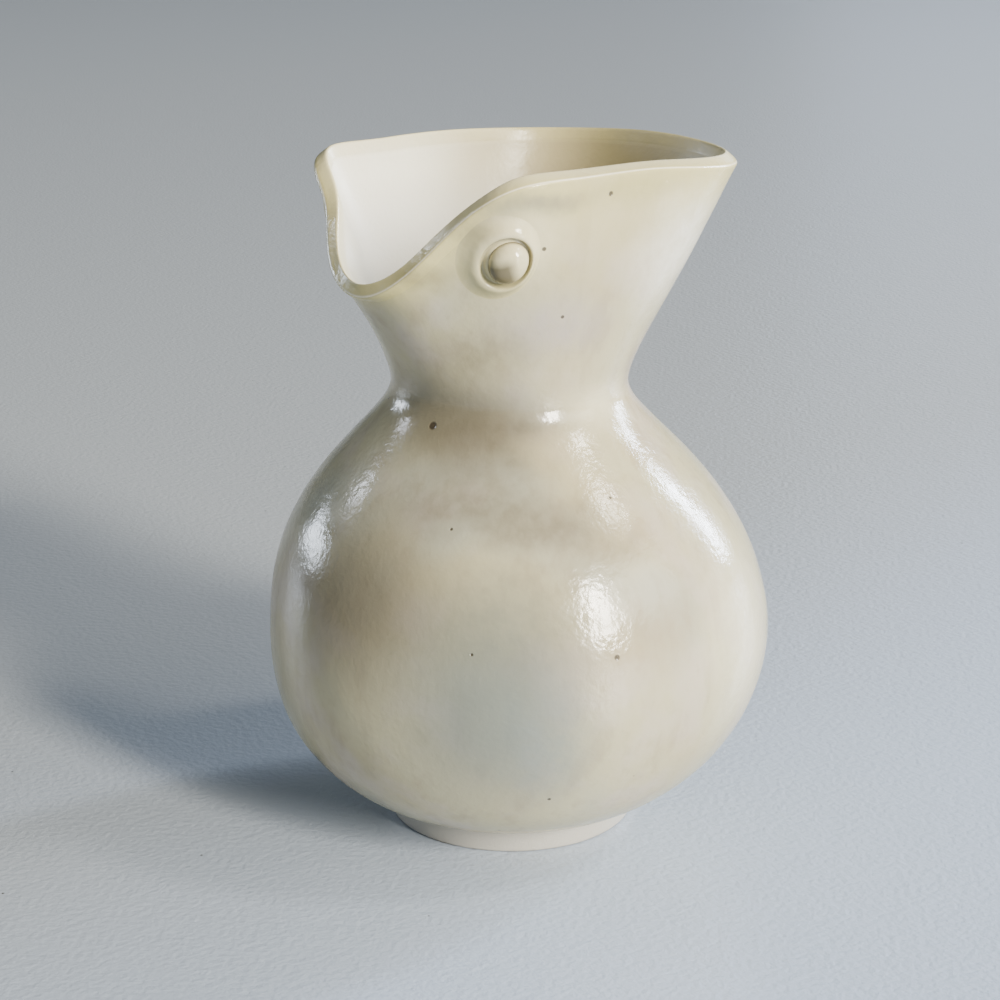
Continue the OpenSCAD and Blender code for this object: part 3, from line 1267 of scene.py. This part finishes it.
    def patched(
        self, tree: bpy.types.NodeTree, place: bpy.types.NodeSocket, colour: bpy.types.Node,
        patches: Sequence[Patch]
    ) -> bpy.types.Node:
        """Lays patches over a colour, with ragged edges and a mottled middle where they are ragged.

        Args:
            tree: The node tree.
            place: The place on the pot.
            colour: The colour beneath.
            patches: The patches, the lowest first.

        Returns:
            The colour.
        """
        ragged = node_in(
            tree, "ShaderNodeTexNoise", None, Vector=place, Scale=1 / (self.drift_size * MM),
            Detail=self.drift_detail)
        drifted = node_in(
            tree, "ShaderNodeVectorMath", {"operation": "MULTIPLY_ADD"}, in0=ragged.outputs["Color"],
            in1=(self.drift * MM,) * 3, in2=place)
        grain = node_in(
            tree, "ShaderNodeTexNoise", None, Vector=place, Scale=1 / (self.mottle_size * MM),
            Detail=self.mottle_detail)
        mottle = node_in(
            tree, "ShaderNodeMapRange", SMOOTH, Value=grain, From_Min=self.mottle_low,
            From_Max=self.mottle_high, To_Min=self.mottle_least)
        middle = Vector((self.drift * MM / 2,) * 3)
        for patch in patches:
            near = node_in(
                tree, "ShaderNodeMapping", {"vector_type": "TEXTURE"},
                Vector=drifted if patch.ragged else place,
                Location=self.spot(patch.turn, patch.z) + patch.ragged * middle,
                Scale=(patch.wide * MM, patch.wide * MM, patch.high * MM))
            away = node_in(tree, "ShaderNodeVectorMath", {"operation": "LENGTH"}, in0=near)
            soft = node_in(
                tree, "ShaderNodeMapRange", SMOOTH, Value=away, From_Min=self.patch_core, From_Max=1.0,
                To_Min=patch.share, To_Max=0.0)
            share = node_in(
                tree, "ShaderNodeMath", {"operation": "MULTIPLY"}, in0=soft,
                in1=mottle if patch.ragged else 1.0)
            colour = node_in(
                tree, "ShaderNodeMix", COLOUR, in0=share, in6=colour, in7=linear(patch.colour))
        return colour

    def near_rim(self, tree: bpy.types.NodeTree, place: bpy.types.NodeSocket) -> bpy.types.Node:
        """Spreads the straw tinge, most of it at the rim, where the glaze ran thin.

        Args:
            tree: The node tree.
            place: The place on the pot.

        Returns:
            How much of the tinge each place has.
        """
        rise = node_in(tree, "ShaderNodeAttribute", {"attribute_name": "rise"}).outputs["Fac"]
        edge = node_in(
            tree, "ShaderNodeMapRange", SMOOTH, Value=rise, From_Min=self.straw_from,
            From_Max=self.straw_to, To_Max=self.straw_share)
        grain = node_in(
            tree, "ShaderNodeTexNoise", None, Vector=place, Scale=1 / (self.straw_size * MM),
            Detail=self.straw_detail)
        uneven = node_in(
            tree, "ShaderNodeMapRange", SMOOTH, Value=grain, From_Min=self.mottle_low,
            From_Max=self.mottle_high, To_Min=self.mottle_least)
        return node_in(tree, "ShaderNodeMath", {"operation": "MULTIPLY"}, in0=edge, in1=uneven)

    def coloured(self, tree: bpy.types.NodeTree, place: bpy.types.NodeSocket) -> bpy.types.Node:
        """Lays the whole glaze: clouds, straw tinge, patches with some painted light and shade, white
        inside with painted shade, a painted highlight along the lip, and olive pools with painted shade on
        the pellets.

        Args:
            tree: The node tree.
            place: The place on the pot.

        Returns:
            The colour.
        """
        straw, near_rim = linear(self.straw), self.near_rim(tree, place)
        clouds = self.clouded(tree, place)
        outside = node_in(tree, "ShaderNodeMix", COLOUR, in0=near_rim, in6=clouds, in7=straw)
        outside = self.patched(tree, place, outside, self.patches)
        less = node_in(
            tree, "ShaderNodeMath", {"operation": "MULTIPLY"}, in0=near_rim, in1=self.inner_straw)
        # The white inside, with painted shade on the far inner wall
        white = self.patched(tree, place, linear(self.inner), self.inner_painted_shade)
        white = node_in(tree, "ShaderNodeMix", COLOUR, in0=less, in6=white, in7=straw)
        colour = outside
        # The crest mark paints a highlight along the lip. The olive mark is glaze pooled in the eyes'
        # grooves and at the pellets' edges, and painted shade over the pellets' lower sides.
        for mark, most, over in (
                ("inside", self.inner_share, white), ("crest", self.painted_highlight_share, linear(self.pale)),
                ("pool_and_shade", self.pool_and_shade_share, linear(self.olive))):
            share = node_in(tree, "ShaderNodeAttribute", {"attribute_name": mark}).outputs["Fac"]
            share = node_in(tree, "ShaderNodeMath", {"operation": "MULTIPLY"}, in0=share, in1=most)
            colour = node_in(tree, "ShaderNodeMix", COLOUR, in0=share, in6=colour, in7=over)
        return colour

    def faults(self, tree: bpy.types.NodeTree, place: bpy.types.NodeSocket) -> bpy.types.Node:
        """Scatters iron specks and sets the pits.

        Args:
            tree: The node tree.
            place: The place on the pot.

        Returns:
            How deep each place lies in one.
        """
        cells = node_in(
            tree, "ShaderNodeTexVoronoi", None, Vector=place, Scale=1 / (self.speck_spacing * MM))
        lot = node_in(tree, "ShaderNodeSeparateColor", None, in0=cells.outputs["Color"])
        radius = self.speck_size / self.speck_spacing
        near = node_in(
            tree, "ShaderNodeMapRange", SMOOTH, Value=cells.outputs["Distance"], From_Min=radius / 2,
            From_Max=radius, To_Min=1.0, To_Max=0.0)
        kept = node_in(
            tree, "ShaderNodeMath", {"operation": "GREATER_THAN"}, in0=lot, in1=self.speck_rarity)
        deepest = node_in(tree, "ShaderNodeMath", {"operation": "MULTIPLY"}, in0=near, in1=kept)
        for pit in self.pits:
            away = node_in(
                tree, "ShaderNodeVectorMath", {"operation": "DISTANCE"}, in0=place,
                in1=self.spot(pit.turn, pit.z))
            hole = node_in(
                tree, "ShaderNodeMapRange", SMOOTH, Value=away, From_Min=pit.size * MM / 2,
                From_Max=pit.size * MM, To_Min=pit.depth, To_Max=0.0)
            deepest = node_in(tree, "ShaderNodeMath", {"operation": "MAXIMUM"}, in0=deepest, in1=hole)
        return deepest

    def uneven(
        self, tree: bpy.types.NodeTree, place: bpy.types.NodeSocket, faults: bpy.types.Node
    ) -> tuple[bpy.types.Node, bpy.types.Node]:
        """Makes the orange peel with its craters and pits.

        Args:
            tree: The node tree.
            place: The place on the pot.
            faults: How deep each place lies in a fault.

        Returns:
            The relief, and the dimples alone.
        """
        waves = node_in(
            tree, "ShaderNodeTexNoise", None, Vector=place, Scale=1 / (self.wave_size * MM),
            Detail=self.wave_detail)
        craters = node_in(
            tree, "ShaderNodeTexNoise", None, Vector=place, Scale=1 / (self.crater_size * MM),
            Detail=self.crater_detail)
        dimples = node_in(
            tree, "ShaderNodeTexNoise", None, Vector=place, Scale=1 / (self.dimple_size * MM),
            Detail=self.dimple_detail)
        height = node_in(
            tree, "ShaderNodeMath", {"operation": "MULTIPLY_ADD"}, in0=craters, in1=self.crater_share,
            in2=waves)
        height = node_in(
            tree, "ShaderNodeMath", {"operation": "MULTIPLY_ADD"}, in0=dimples, in1=self.dimple_share,
            in2=height)
        height = node_in(
            tree, "ShaderNodeMath", {"operation": "MULTIPLY_ADD"}, in0=faults, in1=-self.pit_depth,
            in2=height)
        bump = node_in(
            tree, "ShaderNodeBump", None, Strength=1.0, Distance=self.relief * MM, Height=height)
        return bump, dimples

    def build(self) -> bpy.types.Material:
        """Makes the material.

        Returns:
            The glaze.
        """
        material = bpy.data.materials.new(self.name)
        material.use_nodes = True
        tree = material.node_tree
        tree.nodes.clear()
        place = node_in(tree, "ShaderNodeTexCoord").outputs["Object"]
        colour = self.coloured(tree, place)
        faults = self.faults(tree, place)
        dark = node_in(
            tree, "ShaderNodeMath", {"operation": "MULTIPLY"}, in0=faults, in1=self.speck_share)
        colour = node_in(tree, "ShaderNodeMix", COLOUR, in0=dark, in6=colour, in7=linear(self.iron))
        bump, dimples = self.uneven(tree, place, faults)
        sheen = node_in(
            tree, "ShaderNodeMapRange", None, Value=dimples, From_Min=self.mottle_low,
            From_Max=self.mottle_high, To_Min=self.sheen_least, To_Max=self.sheen_most)
        inside = node_in(tree, "ShaderNodeAttribute", {"attribute_name": "inside"}).outputs["Fac"]
        sheen = node_in(
            tree, "ShaderNodeMath", {"operation": "MULTIPLY_ADD"}, in0=inside, in1=self.inner_dulling,
            in2=sheen)
        shader = node_in(
            tree, "ShaderNodeBsdfPrincipled", None, Base_Color=colour, Roughness=sheen, IOR=self.ior,
            Normal=bump)
        node_in(tree, "ShaderNodeOutputMaterial", None, Surface=shader)
        return material


@dataclass(frozen=True)
class BareClay:
    """Buff stoneware clay, trimmed with a steel loop and wiped, with the glaze's edge just above the seat.

    It gives a dry, faintly sandy surface with turning lines, and a cream band where the glaze begins. All
    sizes are in millimetres.
    """

    name: str
    clay: str = "#988a73"
    glaze: str = "#b2aea4"
    stain: str = "#76644b"
    edge_from: float = 0.6
    edge_to: float = 1.0
    edge_wander: float = 1.2
    grain_size: float = 0.5
    grain_detail: float = 3.0
    blotch_size: float = 9.0
    blotch_detail: float = 4.0
    stain_from: float = 0.45
    stain_to: float = 0.7
    stain_share: float = 0.5
    turning_gap: float = 0.45
    turning_wobble: float = 0.6
    turning_detail: float = 1.0
    relief: float = 0.15
    relief_share: float = 0.4
    roughness: float = 0.8
    glaze_roughness: float = 0.35
    ior: float = 1.5

    def build(self) -> bpy.types.Material:
        """Makes the material.

        Returns:
            The clay.
        """
        material = bpy.data.materials.new(self.name)
        material.use_nodes = True
        tree = material.node_tree
        tree.nodes.clear()
        place = node_in(tree, "ShaderNodeTexCoord").outputs["Object"]
        height = node_in(tree, "ShaderNodeSeparateXYZ", in0=place).outputs["Z"]
        grain = node_in(
            tree, "ShaderNodeTexNoise", None, Vector=place, Scale=1 / (self.grain_size * MM),
            Detail=self.grain_detail)
        blotch = node_in(
            tree, "ShaderNodeTexNoise", None, Vector=place, Scale=1 / (self.blotch_size * MM),
            Detail=self.blotch_detail)
        uneven = node_in(
            tree, "ShaderNodeMath", {"operation": "MULTIPLY_ADD"}, in0=blotch, in1=self.edge_wander * MM,
            in2=height)
        glazed = node_in(
            tree, "ShaderNodeMapRange", SMOOTH, Value=uneven, From_Min=self.edge_from * MM,
            From_Max=self.edge_to * MM)
        stained = node_in(
            tree, "ShaderNodeMapRange", None, Value=blotch, From_Min=self.stain_from,
            From_Max=self.stain_to, To_Max=self.stain_share)
        earth = node_in(
            tree, "ShaderNodeMix", COLOUR, in0=stained, in6=linear(self.clay), in7=linear(self.stain))
        colour = node_in(tree, "ShaderNodeMix", COLOUR, in0=glazed, in6=earth, in7=linear(self.glaze))
        dry = node_in(
            tree, "ShaderNodeMapRange", None, Value=glazed, To_Min=self.roughness,
            To_Max=self.glaze_roughness)
        rings = node_in(
            tree, "ShaderNodeTexWave", {"wave_type": "RINGS", "rings_direction": "Z"}, Vector=place,
            Scale=1 / (self.turning_gap * MM) / WAVE_RATE, Distortion=self.turning_wobble,
            Detail=self.turning_detail)
        rough = node_in(
            tree, "ShaderNodeMath", {"operation": "ADD"}, in0=grain, in1=rings.outputs["Fac"])
        bump = node_in(
            tree, "ShaderNodeBump", None, Strength=self.relief_share, Distance=self.relief * MM,
            Height=rough)
        shader = node_in(
            tree, "ShaderNodeBsdfPrincipled", None, Base_Color=colour, Roughness=dry, IOR=self.ior,
            Normal=bump)
        node_in(tree, "ShaderNodeOutputMaterial", None, Surface=shader)
        return material


@dataclass(frozen=True)
class TableTop:
    """A sprayed pale table top, whose fine orange peel keeps the pot's reflection soft."""

    name: str = "sprayed_table_top"
    # near and far: painted light, the colour turning paler and bluer towards the lights at fade_turn
    near: str = "#a3a7a9"
    far: str = "#b3c2d8"
    fade: tuple[float, float] = (-0.15, 0.12)
    fade_turn: float = 95.0
    peel_size: float = 1.7
    peel_detail: float = 2.0
    peel: float = 0.22
    swell: float = 0.4
    swell_size: float = 8.0
    swell_detail: float = 1.0
    speck_spacing: float = 11.0
    speck_size: float = 0.4
    speck_rarity: float = 0.78
    speck: str = "#4d4b46"
    roughness: float = 0.36

    def build(self) -> bpy.types.Material:
        """Makes the material.

        Returns:
            The painted top.
        """
        material = bpy.data.materials.new(self.name)
        material.use_nodes = True
        tree = material.node_tree
        tree.nodes.clear()
        place = node_in(tree, "ShaderNodeTexCoord").outputs["Object"]
        # Painted light: the top turns from near to far towards the lights' side
        a = math.radians(self.fade_turn)
        along = node_in(
            tree, "ShaderNodeVectorMath", {"operation": "DOT_PRODUCT"}, in0=place,
            in1=(math.sin(a), -math.cos(a), 0)).outputs["Value"]
        share = node_in(
            tree, "ShaderNodeMapRange", SMOOTH, Value=along, From_Min=self.fade[0], From_Max=self.fade[1])
        colour = node_in(
            tree, "ShaderNodeMix", COLOUR, in0=share, in6=linear(self.near), in7=linear(self.far))
        cells = node_in(
            tree, "ShaderNodeTexVoronoi", None, Vector=place, Scale=1 / (self.speck_spacing * MM))
        lot = node_in(tree, "ShaderNodeSeparateColor", None, in0=cells.outputs["Color"])
        kept = node_in(
            tree, "ShaderNodeMath", {"operation": "GREATER_THAN"}, in0=lot, in1=self.speck_rarity)
        radius = self.speck_size / self.speck_spacing
        spot = node_in(
            tree, "ShaderNodeMapRange", SMOOTH, Value=cells.outputs["Distance"], From_Min=radius / 2,
            From_Max=radius, To_Min=1.0, To_Max=0.0)
        dark = node_in(tree, "ShaderNodeMath", {"operation": "MULTIPLY"}, in0=spot, in1=kept)
        colour = node_in(tree, "ShaderNodeMix", COLOUR, in0=dark, in6=colour, in7=linear(self.speck))
        peel = node_in(
            tree, "ShaderNodeTexNoise", None, Vector=place, Scale=1 / (self.peel_size * MM),
            Detail=self.peel_detail)
        swell = node_in(
            tree, "ShaderNodeTexNoise", None, Vector=place, Scale=1 / (self.swell_size * MM),
            Detail=self.swell_detail)
        height = node_in(
            tree, "ShaderNodeMath", {"operation": "MULTIPLY_ADD"}, in0=swell, in1=self.swell,
            in2=peel)
        bump = node_in(tree, "ShaderNodeBump", None, Strength=1.0, Distance=self.peel * MM, Height=height)
        shader = node_in(
            tree, "ShaderNodeBsdfPrincipled", None, Base_Color=colour, Roughness=self.roughness,
            Normal=bump)
        node_in(tree, "ShaderNodeOutputMaterial", None, Surface=shader)
        return material


# The studio


@dataclass(frozen=True)
class SoftLight:
    """A soft window of light, by where it stands round the pot.

    Azimuth is degrees round from the spout's side, -Y, towards +X, and elevation is degrees up. Distance
    and size are metres, and power is watts.
    """

    name: str
    azimuth: float
    elevation: float
    distance: float
    width: float
    height: float
    power: float
    colour: str

    def build(self, target: Vector) -> bpy.types.Object:
        """Hangs the light.

        Args:
            target: The point that it faces.

        Returns:
            The light.
        """
        around, up = math.radians(self.azimuth), math.radians(self.elevation)
        back = Vector((math.sin(around) * math.cos(up), -math.cos(around) * math.cos(up), math.sin(up)))
        data = bpy.data.lights.new(self.name, "AREA")
        data.shape, data.size, data.size_y = "RECTANGLE", self.width, self.height
        data.energy, data.color = self.power, linear(self.colour)[:3]
        light = bpy.data.objects.new(self.name, data)
        light.location = target + back * self.distance
        light.rotation_euler = (-back).to_track_quat("-Z", "Y").to_euler()
        bpy.context.collection.objects.link(light)
        return light


@dataclass
class Studio:
    """The pale table, the soft lights and the camera at the photograph's angle."""

    azimuth: float = 50.0
    elevation: float = 17.15
    distance: float = 520 * MM
    target_z: float = 75 * MM
    picture: float = 1000.0
    focal: float = 2338.0
    centre_x: float = 518.5
    centre_y: float = 490.5
    table_r: float = 6.0
    table_sides: int = 128
    sky: str = "#949ea6"
    sky_strength: float = 0.3
    windows: tuple[SoftLight, ...] = (
        SoftLight("key_window", 92, 21, 4.0, 0.6, 1.7, 450.0, "#fff9ec"),
        SoftLight("side_window", 118, 26, 4.0, 2.2, 1.5, 62.0, "#fffaf2"),
        SoftLight("high_window", 131, 50, 4.0, 0.5, 0.55, 48.0, "#fffaf0"),
        SoftLight("back_window", 174, 19, 4.5, 0.45, 1.9, 250.0, "#dfebff"),
        SoftLight("far_window", 212, 14, 4.5, 1.6, 1.0, 14.0, "#cfe2ff"),
        SoftLight("left_window", 289, 9, 4.0, 1.15, 0.6, 44.0, "#e4eefb"),
        SoftLight("left_lamp", 295, 28, 4.0, 0.4, 0.4, 9.0, "#eef3ff"),
    )

    def camera(self) -> bpy.types.Object:
        """Sets up the camera.

        Returns:
            The camera.
        """
        around, up = math.radians(self.azimuth), math.radians(self.elevation)
        back = Vector((math.sin(around) * math.cos(up), -math.cos(around) * math.cos(up), math.sin(up)))
        data = bpy.data.cameras.new("portrait")
        data.lens = data.sensor_width * self.focal / self.picture
        data.shift_x = (self.picture / 2 - self.centre_x) / self.picture
        data.shift_y = (self.centre_y - self.picture / 2) / self.picture
        camera = bpy.data.objects.new("portrait", data)
        camera.location = Vector((0, 0, self.target_z)) + back * self.distance
        camera.rotation_euler = (-back).to_track_quat("-Z", "Y").to_euler()
        bpy.context.collection.objects.link(camera)
        bpy.context.scene.camera = camera
        return camera

    def table(self) -> bpy.types.Object:
        """Lays the table top.

        Returns:
            The table top.
        """
        bpy.ops.object.select_all(action="DESELECT")
        bpy.ops.mesh.primitive_circle_add(
            vertices=self.table_sides, radius=self.table_r, fill_type="NGON", location=(0, 0, 0))
        table = bpy.context.active_object
        table.name = "table_top"
        table.data.materials.append(TableTop().build())
        return table

    def lights(self) -> list[bpy.types.Object]:
        """Hangs the lights and returns them."""
        target = Vector((0, 0, self.target_z))
        return [window.build(target) for window in self.windows]

    def world(self) -> None:
        """Fills the room with dim even light."""
        world = bpy.data.worlds.new("dim_room")
        world.use_nodes = True
        world.node_tree.nodes.clear()
        sky = node_in(
            world.node_tree, "ShaderNodeBackground", None, Color=linear(self.sky),
            Strength=self.sky_strength)
        node_in(world.node_tree, "ShaderNodeOutputWorld", None, Surface=sky.outputs[0])
        bpy.context.scene.world = world

    def build(self) -> None:
        """Sets up the camera, the table and the lights."""
        self.camera()
        self.table()
        self.lights()
        self.world()


def main() -> None:
    """Builds the pot piece by piece, then the studio, and reports each piece."""
    logging.basicConfig(level=logging.INFO, format="%(name)s: %(message)s")
    shape = PotShape()
    shop = Workshop(shape, Wander())
    glaze = SatinGlaze("cream_satin_glaze", shape, shop.wander).build()
    thin = SatinGlaze(
        "cream_satin_glaze_thin", shape, shop.wander, straw_share=1.0, sheen_most=0.28).build()
    clay = BareClay("buff_stoneware_clay").build()
    Studio().build()
    Bulb(shop).build(glaze)
    FootRing(shop).build(clay)
    Head(shop).build(glaze)
    Lip(shop).build(thin)
    Eye(shop, Side.LEFT, turn=45.0).build(glaze)
    Eye(shop, Side.RIGHT, turn=52.0).build(glaze)


if __name__ == "__main__":
    main()
